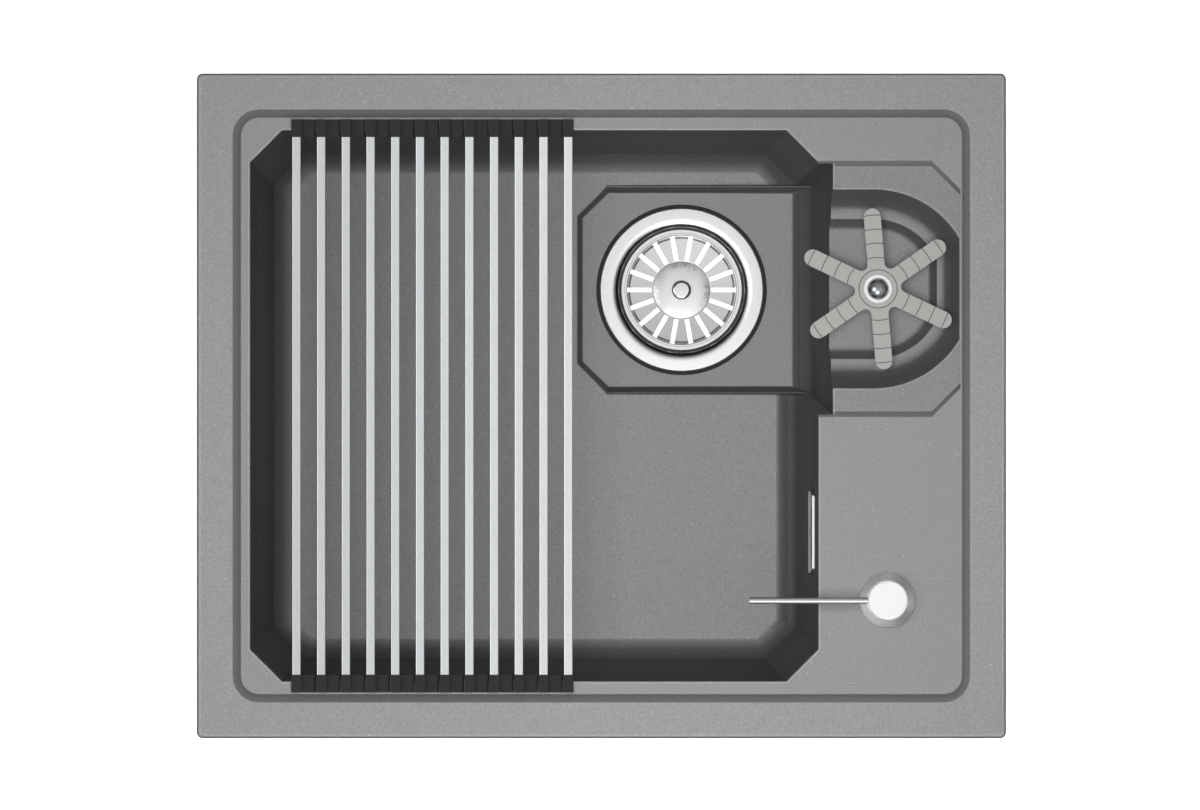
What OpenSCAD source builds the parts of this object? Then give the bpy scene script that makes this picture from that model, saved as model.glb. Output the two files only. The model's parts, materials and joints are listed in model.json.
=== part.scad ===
// Inset kitchen sink of granite composite, with a basket strainer, a glass rinser, an overflow,
// a deck-mounted soap pump and a roll-up drying mat. Sizes are in millimetres.
// X runs to the right, Y to the back and Z up. The origin is at the middle of the sink, on the
// worktop's surface, where the rim's underside rests.

/* [Sink] */
// Overall width of the rim
sink_w = 560; // [550:5:600]
// Overall depth of the rim, front to back
sink_d = 460; // [450:5:500]
// Height of the rim above the worktop
rim_h = 9; // [8:0.5:12]
// Rounding of the rim's top edge
rim_edge_r = 3; // [1:0.5:3.5]
// Corner radius of the rim in plan
rim_corner_r = 4; // [4:0.5:12]
// Width of the rim outside the step
rim_border = 24; // [20:1:28]
// Width of the sloping step between the rim and the deck
step_run = 7; // [5:0.5:9]
// Drop from the rim to the deck
deck_drop = 7; // [5:0.5:8]
// Corner radius of the deck in plan
deck_corner_r = 12; // [8:1:18]
// Thickness of the composite
wall_t = 9; // [7:0.5:11]
// Rounding of the edges round the bowls
lip_r = 1.5; // [1:0.1:2]

/* [Bowl] */
// Deck left of the bowl
bowl_margin = 6; // [5:0.5:12]
// Ledge of the deck in front of and behind the bowl
ledge_w = 8.5; // [7:0.5:10]
// Deck right of the bowl
side_land = 99; // [97:1:103]
// Depth from the rim to the floor of the bowl
bowl_depth = 200; // [180:5:220]
// Cut-off at the corners of the bowl
bowl_chamfer = 22; // [18:1:26]
// Inward lean of the walls from the mouth to the floor
wall_lean = 14; // [10:1:16]
// Fillet between the walls and the floor
floor_fillet = 14; // [10:1:18]

/* [Drain recess] */
// Distance of the drain's axis behind the sink's middle
drain_y = 81; // [76:1:84]
// Distance from the drain's axis to the bowl's right edge
drain_inset = 94; // [90:1:98]
// Distance from the drain's axis to the recess's left edge
recess_left = 74; // [72:1:90]
// Half depth of the recess, front to back
recess_half = 73; // [71:0.5:75]
// Cut-off at the left corners of the recess
recess_chamfer = 21; // [16:1:24]
// Depth of the recess below the bowl's floor
recess_depth = 8; // [6:0.5:10]
// Width of the sloping edge of the recess
recess_run = 5.8; // [5:0.1:6.5]
// Distance by which the bowl's right wall steps out behind the drain
bump_out = 10; // [8:0.5:12]
// Radius of the hole for the waste
waste_hole_r = 45; // [44.9:0.1:46]

/* [Side basin] */
// Drop from the deck to the shelf round the side basin
shelf_drop = 4.5; // [3.5:0.5:6]
// Width of the sloping edge of the shelf
shelf_run = 5; // [4:0.5:6]
// Half depth of the shelf, front to back
shelf_half = 84.5; // [82:0.5:87]
// Cut-off at the right corners of the shelf
shelf_chamfer = 20; // [16:1:24]
// Radius of the side basin's round end
side_r = 68.5; // [67:0.5:70]
// Distance from the round end's centre to the deck's right edge
side_inset = 60.5; // [60:0.5:62]
// Depth of the side basin below the shelf
side_depth = 30; // [28:1:34]
// Width of the side basin's upper wall, down to its ledge
side_ledge_in = 18; // [16:1:20]
// Depth of that ledge below the shelf
side_ledge_depth = 15; // [12:1:16]

/* [Waste] */
// Width of the waste's steel flange outside the hole
flange_w = 12; // [11:0.5:13]
// Thickness of the steel sheet
sheet_t = 0.8; // [0.6:0.1:1]
// Width of the gasket that shows round the flange
gasket_show = 2.5; // [1.5:0.5:3]
// Thickness of the gaskets
gasket_t = 1.5; // [1:0.5:2]
// Depth of the steel dish below the recess's floor
dish_depth = 38; // [36:1:44]
// Radius of the dish's outlet, which the plug closes
dish_outlet_r = 18; // [16:0.5:18.5]
// Outer radius of the threaded outlet, G 1 1/2
outlet_r = 23.9; // [23:0.1:24.5]
// Bore radius of the threaded outlet
outlet_bore_r = 20.5; // [19:0.5:21]
// Length of the threaded outlet
outlet_len = 30; // [24:1:40]

/* [Strainer basket] */
// Gap between the basket's rolled rim and the dish
basket_gap = 1.4; // [1:0.1:2]
// Width of the basket's flat rim
basket_rim = 4.4; // [3.5:0.1:5]
// Depth of the basket
basket_depth = 20; // [16:1:22]
// Number of slots in the basket's floor
slot_n = 18; // [12:1:20]
// Width of a slot
slot_w = 3.1; // [2.5:0.1:3.5]
// Radius where the slots begin
slot_r0 = 20.8; // [20:0.2:22]
// Rise of the basket's floor from its hub to its wall
plate_rise = 1.4; // [0.5:0.1:2]
// Radius of the knob
knob_r = 6.8; // [6:0.2:9]

/* [Overflow] */
// Distance from the bowl's front edge to the overflow
over_front = 103; // [95:1:110]
// Depth of the overflow below the deck
over_drop = 40; // [34:1:46]
// Length of the overflow's cover
cover_l = 56.6; // [50:0.2:60]
// Height of the overflow's cover
cover_h = 20; // [16:1:24]
// Radius of the overflow's hole
over_hole_r = 12; // [12:0.1:12.5]
// Outer radius of the overflow's pipe
pipe_r = 12.5; // [12:0.1:13]
// Wall of the overflow's pipe
pipe_t = 2.5; // [1.5:0.5:3]
// Bend radius of the overflow's pipe
pipe_bend_r = 30; // [26:1:34]

/* [Glass rinser] */
// Distance of the rinser right of the side basin's centre
rinser_shift = 3; // [1:0.5:4]
// Reach of the star's arms
star_r = 57; // [52:0.5:58]
// Width of an arm
arm_w = 12; // [10:0.5:13]
// Fillet between two arms
notch_r = 4.3; // [3:0.1:5]
// Thickness of the star
star_t = 4; // [3:0.5:5]
// Turn of the star
star_turn = 34.6; // [20:0.2:50]
// Travel of the star when a glass presses it
rinser_travel = 6; // [4:0.5:7]
// Radius of the rinser's shank, which its nut clamps
shank_r = 12; // [11:0.1:12.5]
// Outer radius of the tail below the shank, G 1/2
tail_r = 10.48; // [10:0.01:10.6]
// Length of the tail below the shank
tail_len = 22; // [16:1:30]

/* [Soap pump] */
// Distance from the deck's right edge to the pump
pump_inset = 51; // [48:1:56]
// Distance from the deck's front edge to the pump
pump_front = 64.5; // [58:0.5:70]
// Radius of the base flange
base_r = 19.3; // [18:0.1:21]
// Radius of the base's threaded tube
tube_r = 13; // [12:0.1:13.5]
// Width across the corners of the nut under the deck
clamp_nut_w = 44; // [40:1:48]
// Radius of the pump head
head_r = 14; // [12:0.5:16]
// Height of the pump head's underside above the deck
head_lift = 24; // [23:1:40]
// Height of the pump head
head_h = 24; // [18:1:30]
// Reach of the spout from the pump's axis
spout_reach = 95.8; // [80:0.2:110]
// Radius of the spout's rod
spout_r = 2.25; // [2:0.05:3]
// Travel of the pump head
pump_travel = 12; // [8:0.5:13]
// Radius of the soap bottle
bottle_r = 29; // [24:1:30]
// Length of the soap bottle, with its neck
bottle_len = 150; // [120:5:160]

/* [Drying mat] */
// Distance from the deck's left edge to the first bar
mat_inset = 38; // [10:1:60]
// Distance from bar to bar
bar_pitch = 17.1; // [16:0.1:18]
// Width and height of a bar
bar_w = 6; // [5:0.1:6.4]
// Corner radius of a bar
bar_corner_r = 1.4; // [1:0.1:1.8]
// Wall of a bar
bar_t = 0.8; // [0.6:0.1:1]
// Width of a silicone sleeve
sleeve_w = 7.2; // [7.2:0.1:8]
// Height of a silicone sleeve
sleeve_h = 8; // [8:0.1:9]
// Length of a silicone sleeve
sleeve_l = 12.2; // [10:0.2:14]
// Thickness of the web between two sleeves
web_t = 2.5; // [2:0.1:3]
// Gap between the mat's ends and the step
mat_gap = 0.75; // [0.5:0.05:1.5]

/* [Fits] */
// Gap between pieces that move past each other
run_gap = 0.3; // [0.2:0.05:0.4]
// Gap between pieces that are screwed or pushed together
push_gap = 0.05; // [0.03:0.01:0.1]

/* [Hidden] */
$fn = 64;
// Steps of a small rounding, of a plan corner and of half the side basin's round end
arc_n = 3;
corner_n = 6;
round_n = 14;
// Length by which a cutter runs past what it cuts
over = 5;
// Share of an inset that a 45 degree cut-off loses at each corner
cut_loss = 2 - sqrt(2);

// Levels
deck_z = rim_h - deck_drop;
shelf_z = deck_z - shelf_drop;
side_z = shelf_z - side_depth;
floor_z = rim_h - bowl_depth;
recess_z = floor_z - recess_depth;
under_z = recess_z - wall_t;

// Deck and bowl in plan
deck_hx = sink_w / 2 - rim_border - step_run;
deck_hy = sink_d / 2 - rim_border - step_run;
bowl_x0 = -deck_hx + bowl_margin;
bowl_x1 = deck_hx - side_land;
bowl_hy = deck_hy - ledge_w;
bump_x1 = bowl_x1 + bump_out;
bump_half = recess_half + wall_lean;
drain_x = bowl_x1 - drain_inset;
recess_x0 = drain_x - recess_left;
side_x = deck_hx - side_inset;
side_clip = side_inset - lip_r;
rinser_x = side_x + rinser_shift;
pump_x = deck_hx - pump_inset;
pump_y = -deck_hy + pump_front;

// Overflow: its place on the leaning right wall, and the pipe below it
wall_angle = atan2(wall_lean, deck_z - lip_r - floor_z - floor_fillet);
over_y = -bowl_hy + over_front;
over_z = deck_z - over_drop;
over_x = bowl_x1 - (over_drop - lip_r) * tan(wall_angle);
wall_across = wall_t * cos(wall_angle);
pocket_t = 1.2;
cover_t = 3.6;
over_flange_t = 3;
chamber_r = 16;
chamber_l = 24;
over_flange_r = 19;
pipe_in = wall_across + gasket_t + over_flange_t + chamber_l / 2;
pipe_x = over_x + pipe_in * cos(wall_angle);
pipe_z1 = over_z - pipe_in * sin(wall_angle) - 32;
pipe_z0 = recess_z - 32;
pipe_turn = atan2(over_y - drain_y, pipe_x - drain_x);
pipe_span = norm([over_y - drain_y, pipe_x - drain_x]);
spigot_end = 72;
nut_l = 22;
nut_t = 4.5;

// Waste, measured down from the recess's floor
flange_r = waste_hole_r + flange_w;
dish_r = waste_hole_r - 0.4;
dish_wall = 29;
skirt_l = 9;
hub_r = 7.5;
bolt_head_r = 5.5;
cup_r = waste_hole_r + 1.2;
cup_t = 2.8;
cup_l = 50;
funnel_l = 12;
bolt_r = 3.4;
stem_r = 2.3;
plug_r = dish_outlet_r + 1.8;
plug_z = -dish_depth - 0.3;
basket_r = dish_r - sheet_t - basket_gap;
basket_top = 0.8;
basket_in = basket_r - basket_rim;
slot_top = 5;
carrier_r = 6;

// Rinser, measured up from the side basin's floor
rinser_base_r = 15.8;
rinser_nut_h = 10;
shank_z = -wall_t - rinser_nut_h - 3;
water_bore_r = 5;
column_r = 13;
column_h = 15;
cavity_r = 8;
cavity_z = -10;
cap_t = 2;
stem_top = side_depth;
piston_t = 4;
piston_z = column_h - cap_t - piston_t;
plunger_r = 5;
spigot_r = 4.2;

// Pump, measured up from the deck
base_h = 6.5;
tube_l = 50;
tube_bore_r = tube_r - 1.8;
clamp_nut_h = 9;
washer_t = 2;
collar_h = 3.5;
collar_in = 8;
rod_r = 3.3;
barrel_r = 6;
barrel_t = 2;
barrel_z = -56;
pump_piston_z = -24;
spring_z = barrel_z + 3;
spout_z = head_lift + head_h * 0.7;
bottle_top = -26;
bottle_t = 1.6;

// Mat
mat_n = 12;
mat_half = deck_hy - mat_gap;
mat_x = -deck_hx + mat_inset;
bar_z = deck_z + sleeve_h / 2;
sleeve_wall = 2.2;
web_z = deck_z + 1;

function two_digits(i) = str(i < 9 ? "0" : "", i + 1);
function bar_name(i) = str("mat_bar_", two_digits(i));
function ends_name(i) = str("mat_ends_", two_digits(i));

composite = [0.42, 0.42, 0.42];
steel = [0.78, 0.79, 0.80];
chrome = [0.86, 0.87, 0.88];
rubber = [0.12, 0.12, 0.12];
plastic = [0.90, 0.90, 0.88];
star_grey = [0.68, 0.68, 0.67];

// Closed solid through rings of points, lowest ring first, each ring counter-clockwise from above
module loft(rings) {
    n = len(rings[0]);
    m = len(rings);
    polyhedron(
        points = [for (ring = rings) each ring],
        faces = concat(
            [[for (i = [0 : n - 1]) i]],
            [for (k = [0 : m - 2], i = [0 : n - 1])
                [k * n + i, (k + 1) * n + i, (k + 1) * n + (i + 1) % n]],
            [for (k = [0 : m - 2], i = [0 : n - 1])
                [k * n + i, (k + 1) * n + (i + 1) % n, k * n + (i + 1) % n]],
            [[for (i = [n - 1 : -1 : 0]) (m - 1) * n + i]]
        )
    );
}

// Coil of round wire from one height to another
module coil(r, wire_r, z0, z1, turns) {
    steps = 12;
    sides = 6;
    n = turns * steps;
    loft([for (k = [0 : n])
        let (a = 360 * k / steps, z = z0 + wire_r + (z1 - z0 - 2 * wire_r) * k / n)
        [for (s = [0 : sides - 1])
            let (b = -360 * s / sides, q = r + wire_r * cos(b))
            [q * cos(a), q * sin(a), z + wire_r * sin(b)]]]);
}

// Ring with a bore, from one height to another
module ring(r, bore_r, z0, z1) {
    translate([0, 0, z0]) difference() {
        cylinder(r = r, h = z1 - z0);
        translate([0, 0, -1]) cylinder(r = bore_r, h = z1 - z0 + 2);
    }
}

// Rectangle with true round corners, about its middle
module round_rect(w, h, r) {
    square([w - 2 * r, h], center = true);
    square([w, h - 2 * r], center = true);
    for (x = [-1, 1], y = [-1, 1])
        translate([x * (w / 2 - r), y * (h / 2 - r)]) circle(r = r);
}

// Slope of a step whose two edges are rounded, found by trying again from each answer
function step_angle(run, drop, r, a = 45, n = 12) = n == 0 ? a :
    step_angle(run, drop, r,
        atan2(drop - 2 * r * (1 - cos(a)), run - 2 * r * sin(a)), n - 1);

// Side view of such a step: how far out and how far up, from the lower flat to the upper one
function step_line(run, drop, r) = let (a = step_angle(run, drop, r)) concat(
    [for (k = [0 : arc_n]) [r * sin(a * k / arc_n), r * (1 - cos(a * k / arc_n))]],
    [for (k = [arc_n : -1 : 0])
        [run - r * sin(a * k / arc_n), drop - r * (1 - cos(a * k / arc_n))]]);

// Side view of a rounded upper edge: how far out and how far up from the top of the wall
function lip_line(r) = [for (k = [0 : arc_n])
    [r * (1 - cos(90 * k / arc_n)), r * sin(90 * k / arc_n)]];

// Rounded rectangle about the origin
function round_ring(hx, hy, r, z) = [for (q = [0 : 3], k = [0 : corner_n])
    let (a = 90 * (q + k / corner_n), sx = q == 0 || q == 3 ? 1 : -1, sy = q < 2 ? 1 : -1)
    [sx * (hx - r) + r * cos(a), sy * (hy - r) + r * sin(a), z]];

// Outline of the bowl, with its sides moved in by lean and then all round by inset
function bowl_ring(lean, inset, z) = let (
        x0 = bowl_x0 + lean + inset,
        x1 = bowl_x1 - lean - inset,
        y1 = bowl_hy - lean - inset,
        c = bowl_chamfer - cut_loss * inset)
    [[x0 + c, -y1, z], [x1 - c, -y1, z], [x1, -y1 + c, z], [x1, y1 - c, z],
     [x1 - c, y1, z], [x0 + c, y1, z], [x0, y1 - c, z], [x0, -y1 + c, z]];

// Outline of the recess and the bump-out, with its ends, its right and its left side moved in
function well_ring(ends, right, left, z) = let (
        x0 = recess_x0 + left,
        x1 = bump_x1 - right,
        h = bump_half - ends,
        c = recess_chamfer - cut_loss * left)
    [[x0 + c, drain_y - h, z], [x1, drain_y - h, z], [x1, drain_y + h, z],
     [x0 + c, drain_y + h, z], [x0, drain_y + h - c, z], [x0, drain_y - h + c, z]];

// Outline of the shelf, with its front and back moved out
function shelf_ring(out, x0, x1, z) = let (h = shelf_half + out, c = shelf_chamfer)
    [[x0, drain_y - h, z], [x1 - c, drain_y - h, z], [x1, drain_y - h + c, z],
     [x1, drain_y + h - c, z], [x1 - c, drain_y + h, z], [x0, drain_y + h, z]];

// Outline of the side basin moved in all round, with its round end cut straight on the right
function side_ring(inset, x0, z) = let (
        r = side_r - inset,
        clip = side_clip - (inset > 0 ? 0.75 : 1) * inset,
        a = acos(clip / r))
    concat([[x0, drain_y - r, z]],
        [for (k = [round_n : -1 : 0]) let (b = a + (90 - a) * k / round_n)
            [side_x + r * cos(b), drain_y - r * sin(b), z]],
        [for (k = [0 : round_n]) let (b = a + (90 - a) * k / round_n)
            [side_x + r * cos(b), drain_y + r * sin(b), z]],
        [[x0, drain_y + r, z]]);

// Lean and fillet of the bump-out's right wall at a height above the recess's floor
bump_rise = shelf_z - recess_z;
function fillet_at(u, r) = u < r ? r - sqrt(r * r - (r - u) * (r - u)) : 0;
function bump_right(u) = wall_lean * (1 - u / bump_rise) + fillet_at(u, floor_fillet);
function bump_ends(u) = u < recess_depth ? wall_lean :
    wall_lean * (1 - (u - recess_depth) / (bump_rise - recess_depth));

// Slab of the rim, with a rounded top edge
module rim_solid() {
    loft(concat(
        [round_ring(sink_w / 2, sink_d / 2, rim_corner_r, 0)],
        [for (k = [0 : 2 * arc_n])
            let (a = 45 * k / arc_n, in = rim_edge_r * (1 - cos(a)))
            round_ring(sink_w / 2 - in, sink_d / 2 - in, rim_corner_r - in,
                rim_h - rim_edge_r * (1 - sin(a)))]));
}

// Undersides of the deck, the shelf, the bowl, the recess and the side basin
module under_solids() {
    lap = wall_t - 1;
    r = floor_fillet + wall_t;
    low = floor_z - wall_t;
    loft([
        round_ring(deck_hx + lap - 1, deck_hy + lap - 1, deck_corner_r + lap, deck_z - wall_t),
        round_ring(deck_hx + lap, deck_hy + lap, deck_corner_r + lap, rim_h / 2)]);
    loft([for (z = [shelf_z - wall_t, deck_z - 2])
        shelf_ring(wall_t, bowl_x1, deck_hx + lap - 1, z)]);
    loft(concat(
        [for (k = [0 : arc_n]) let (a = 90 * k / arc_n)
            bowl_ring(wall_lean, r * (1 - sin(a)) - wall_t, low + r * (1 - cos(a)))],
        [bowl_ring(0, -wall_t, deck_z - lip_r)]));
    loft(concat(
        [for (k = [0 : arc_n]) let (a = 90 * k / arc_n)
            well_ring(wall_lean - wall_t + r / 2 * (1 - sin(a)),
                wall_lean - wall_t + r * (1 - sin(a)),
                r / 2 * (1 - sin(a)) - wall_t, under_z + r * (1 - cos(a)))],
        [well_ring(-wall_t, -wall_t, -wall_t, shelf_z - 1)]));
    loft([
        side_ring(4 - wall_t, bowl_x1, side_z - wall_t),
        side_ring(1 - wall_t, bowl_x1, side_z - wall_t + 4),
        side_ring(-wall_t + 0.5, bowl_x1, shelf_z - 2)]);
}

// Room above the deck, inside the rim's step
module deck_cut() {
    line = step_line(step_run, deck_drop, 1.2);
    loft(concat(
        [for (p = line)
            round_ring(deck_hx + p[0], deck_hy + p[0], deck_corner_r + p[0], deck_z + p[1])],
        [round_ring(deck_hx + step_run, deck_hy + step_run, deck_corner_r + step_run,
            rim_h + over)]));
}

// Room of the main bowl
module bowl_cut() {
    r = floor_fillet;
    loft(concat(
        [for (k = [0 : 2 * arc_n]) let (a = 45 * k / arc_n)
            bowl_ring(wall_lean, r * (1 - sin(a)), floor_z + r * (1 - cos(a)))],
        [for (p = lip_line(lip_r)) bowl_ring(0, -p[0], deck_z - lip_r + p[1])],
        [bowl_ring(0, -lip_r, rim_h + over)]));
}

// Room of the drain recess and of the bump-out above it
module well_cut() {
    line = step_line(recess_run, recess_depth, 1.8);
    high = [for (k = [1 : 3]) recess_depth + (floor_fillet - recess_depth) * k / 3];
    loft(concat(
        [for (p = line)
            well_ring(wall_lean + recess_run - p[0], bump_right(p[1]), recess_run - p[0],
                recess_z + p[1])],
        [for (u = high) well_ring(bump_ends(u), bump_right(u), 0, recess_z + u)],
        [for (p = lip_line(lip_r)) well_ring(0, -p[0], 0, shelf_z - lip_r + p[1])],
        [well_ring(0, -lip_r, 0, rim_h + over)]));
}

// Room above the shelf
module shelf_cut() {
    x0 = bowl_x1 - over;
    x1 = deck_hx - 0.4;
    loft(concat(
        [for (p = step_line(shelf_run, shelf_drop, 0.8)) shelf_ring(p[0], x0, x1, shelf_z + p[1])],
        [shelf_ring(shelf_run, x0, x1, rim_h + over)]));
}

// Room of the side basin: an upper curve to the ledge and a lower curve to the floor
module side_cut() {
    x0 = bump_x1 - wall_lean - over;
    in2 = side_ledge_in + 2;
    lower = side_depth - side_ledge_depth - 0.6;
    loft(concat(
        [for (k = [2 * arc_n : -1 : 0]) let (a = 45 * k / arc_n)
            side_ring(in2 + 10 * (1 - cos(a)), x0,
                shelf_z - side_ledge_depth - 0.6 - lower * sin(a))],
        [for (k = [2 * arc_n : -1 : 1]) let (a = 45 * k / arc_n)
            side_ring(side_ledge_in * (1 - cos(a)), x0,
                shelf_z - lip_r - (side_ledge_depth - lip_r) * sin(a))],
        [for (p = lip_line(lip_r)) side_ring(-p[0], x0, shelf_z - lip_r + p[1])],
        [side_ring(-lip_r, x0, shelf_z + over / 2)]));
}

// Places of the fittings
module at_drain() { translate([drain_x, drain_y, recess_z]) children(); }
module at_rinser() { translate([rinser_x, drain_y, side_z]) children(); }
module at_pump() { translate([pump_x, pump_y, deck_z]) children(); }
// On the right wall: X into the wall and Z up along it
module at_overflow() { translate([over_x, over_y, over_z]) rotate([0, wall_angle, 0]) children(); }
// A flat outline on the right wall, drawn with its first axis along Y, from one depth to another
module on_wall(x0, x1) {
    translate([x0, 0, 0]) rotate([90, 0, 90]) linear_extrude(x1 - x0) children();
}

module basin() {
    color(composite) difference() {
        union() {
            rim_solid();
            under_solids();
        }
        deck_cut();
        bowl_cut();
        well_cut();
        shelf_cut();
        side_cut();
        at_drain() translate([0, 0, -wall_t - over]) cylinder(r = waste_hole_r, h = wall_t + 2 * over);
        at_rinser() translate([0, 0, -wall_t - over])
            cylinder(r = shank_r + 0.5, h = wall_t + 2 * over);
        at_pump() translate([0, 0, -wall_t - over]) cylinder(r = tube_r + 1, h = wall_t + 2 * over);
        at_overflow() {
            on_wall(-over, pocket_t) round_rect(cover_l + 3, cover_h + 3, 5);
            rotate([0, 90, 0]) cylinder(r = over_hole_r, h = wall_t + over);
        }
    }
}

module flange_gasket() {
    color(rubber) at_drain() ring(flange_r + gasket_show, waste_hole_r + 1.5, 0, gasket_t);
}

// Steel flange, dish and outlet skirt, with three arms to the hub for the bolt
module waste_flange() {
    t = sheet_t;
    color(steel) at_drain() difference() {
        union() {
            rotate_extrude() polygon([
                [flange_r, gasket_t], [flange_r, gasket_t + 0.7], [flange_r - 0.6, gasket_t + 1.3],
                [dish_r + 5.4, gasket_t + 1.6], [dish_r + 3.4, gasket_t + 1.3],
                [dish_r + 1.4, gasket_t + 0.4],
                [dish_r - t + 0.6, 0.6], [dish_r - t, -1.2], [dish_r - t, -dish_wall],
                [dish_r - t - 2, -dish_wall - 2], [dish_outlet_r, -dish_depth],
                [dish_outlet_r, -dish_depth - skirt_l], [dish_outlet_r + t, -dish_depth - skirt_l],
                [dish_outlet_r + t, -dish_depth - t], [dish_r - 1.6, -dish_wall - 2 - t],
                [dish_r, -dish_wall], [dish_r, -0.8], [dish_r + 0.5, 0.4],
                [dish_r + 1.6, gasket_t]]);
            translate([0, 0, -dish_depth - skirt_l]) {
                cylinder(r = hub_r, h = 2);
                for (a = [90, 210, 330])
                    rotate([0, 0, a]) translate([0, -2, 0]) cube([dish_outlet_r + t / 2, 4, 2]);
            }
        }
        translate([0, 0, -dish_depth - skirt_l - 1]) cylinder(r = bolt_r + push_gap, h = 4);
    }
}

module waste_seal() {
    color(rubber) at_drain() ring(flange_r, waste_hole_r + 0.5, -wall_t - 2, -wall_t);
}

// Cup, funnel, threaded outlet, hub for the bolt and spigot for the overflow's pipe
module waste_body() {
    top = -wall_t - 2;
    low = -cup_l - funnel_l;
    hub_l = 16;
    hub_z = -dish_depth - skirt_l - hub_l - 2;
    color(plastic) at_drain() difference() {
        union() {
            rotate_extrude() polygon([
                [flange_r + 1, top], [flange_r + 1, top - 3], [cup_r + cup_t, top - 3],
                [cup_r + cup_t, -cup_l], [outlet_r, low], [outlet_r, low - outlet_len],
                [outlet_bore_r, low - outlet_len], [outlet_bore_r, low], [cup_r, -cup_l],
                [cup_r, top]]);
            translate([0, 0, hub_z]) cylinder(r = bolt_r + 3, h = hub_l);
            for (a = [90, 210, 330])
                rotate([0, 0, a]) translate([5, -1.5, hub_z]) cube([outlet_bore_r - 4, 3, 8]);
            rotate([0, 0, pipe_turn]) translate([cup_r + 1, 0, -32]) rotate([0, 90, 0])
                cylinder(r = pipe_r, h = spigot_end - cup_r - 1);
        }
        translate([0, 0, hub_z - 1]) cylinder(r = bolt_r + push_gap, h = hub_l + 2);
        rotate([0, 0, pipe_turn]) translate([cup_r - 3, 0, -32]) rotate([0, 90, 0])
            cylinder(r = pipe_r - pipe_t, h = spigot_end);
    }
}

// Hollow screw that draws the body up to the dish and guides the basket's stem
module waste_bolt() {
    seat = -dish_depth - skirt_l + 2;
    color(steel) at_drain() difference() {
        union() {
            translate([0, 0, seat]) cylinder(r = bolt_head_r, h = 2);
            translate([0, 0, seat - 17]) cylinder(r = bolt_r, h = 17);
        }
        translate([0, 0, seat - 12]) cylinder(r = stem_r + run_gap, h = 15);
    }
}

// Pressed steel basket: a flat rim with a fine groove, a steep wall, a floor that rises outwards
// with radial slots that run up into the wall, and a crowned hub
module basket_cup() {
    t = sheet_t;
    r = basket_r;
    w = basket_in;
    b = w - 1.5;
    top = -basket_top;
    f = top - basket_depth;
    rise = f + plate_rise;
    color(steel) at_drain() difference() {
        rotate_extrude() polygon([
            [r, top - 1.4], [r, top - 0.5], [r - 0.5, top], [r - 2.4, top],
            [r - 2.7, top - 0.3], [r - 3, top], [w + 0.5, top], [w + 0.1, top - 0.4],
            [b + 0.5, rise + 4], [b, rise + t + 0.5], [b - 0.6, rise + t],
            [slot_r0 - 0.2, f + t], [slot_r0 - 0.6, f + t - 0.1], [slot_r0 - 1, f + t + 0.3],
            [15, f + t + 1.3], [9, f + t + 1.9], [stem_r, f + t + 2.1],
            [stem_r, f + 1.8], [carrier_r + 0.5, f + 1.8], [15, f + 0.7],
            [slot_r0 - 1.4, f - 0.1], [slot_r0 - 0.8, f - 0.4], [slot_r0 - 0.3, f],
            [b - 0.3, rise], [b + 0.6, rise + 0.9], [b + 1.2, rise + 4],
            [w + 0.9, top - 1.1], [r - 0.7, top - 1.1], [r - 0.8, top - 1.4]]);
        translate([0, 0, f - 1]) linear_extrude(basket_depth + 1 - slot_top)
            for (i = [0 : slot_n - 1]) rotate([0, 0, 360 * i / slot_n]) intersection() {
                translate([0, -slot_w / 2]) square([r, slot_w]);
                difference() {
                    circle(r = w + 1);
                    circle(r = slot_r0);
                }
            }
    }
}

module basket_knob() {
    z = -basket_top - basket_depth + sheet_t + 2.1;
    color(chrome) at_drain() rotate_extrude() polygon([
        [0, z], [5, z], [4.2, z + 1.5], [3.4, z + 5], [knob_r - 0.8, z + 6.4], [knob_r, z + 7.6],
        [knob_r, z + 9.2], [knob_r - 0.7, z + 10.2], [knob_r - 2, z + 10.8], [0, z + 11]]);
}

// Stem with the carrier that holds the plug
module basket_stem() {
    top = -basket_top - basket_depth + 1.8;
    color(steel) at_drain() rotate_extrude() polygon([
        [0, top + sheet_t], [stem_r - push_gap, top + sheet_t], [stem_r - push_gap, top],
        [carrier_r, top], [carrier_r, plug_z + 2.5], [4, plug_z + 2.5], [4, plug_z - 0.5],
        [carrier_r, plug_z - 0.5], [carrier_r - 1, plug_z - 2.5], [stem_r, plug_z - 2.5],
        [stem_r, plug_z - 15], [stem_r - 1, plug_z - 16], [0, plug_z - 16]]);
}

// Rubber plug that closes the dish's outlet
module basket_seal() {
    z = plug_z;
    color(rubber) at_drain() rotate_extrude() polygon([
        [4 + push_gap, z - 0.5], [dish_outlet_r - 1.2, z - 0.5], [dish_outlet_r - 0.9, z],
        [plug_r, z + 1.8], [plug_r - 0.4, z + 2.5], [4 + push_gap, z + 2.5]]);
}

// Front plate and rear frame joined at both ends, with a countersunk hole for the screw
module overflow_cover() {
    gap_x = -1.4;
    color(chrome) at_overflow() difference() {
        on_wall(pocket_t - cover_t, pocket_t) round_rect(cover_l, cover_h, 4);
        translate([gap_x, -cover_l / 2 + 3, -cover_h]) cube([1.2, cover_l - 6, 2 * cover_h]);
        on_wall(gap_x, pocket_t + 1) round_rect(34, cover_h - 6, 4);
        translate([pocket_t - cover_t - 1, 0, 0]) rotate([0, 90, 0]) cylinder(r = 2.6, h = 3);
    }
}

module overflow_screw() {
    color(steel) at_overflow() rotate([0, 90, 0]) {
        translate([0, 0, -1.4 + push_gap]) cylinder(r = 3.6, h = 1.2);
        translate([0, 0, -0.3]) cylinder(r = 2, h = wall_across + 16);
    }
}

module overflow_gasket() {
    color(rubber) at_overflow() rotate([0, 90, 0])
        ring(over_flange_r, over_hole_r + 0.5, wall_across, wall_across + gasket_t);
}

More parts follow.
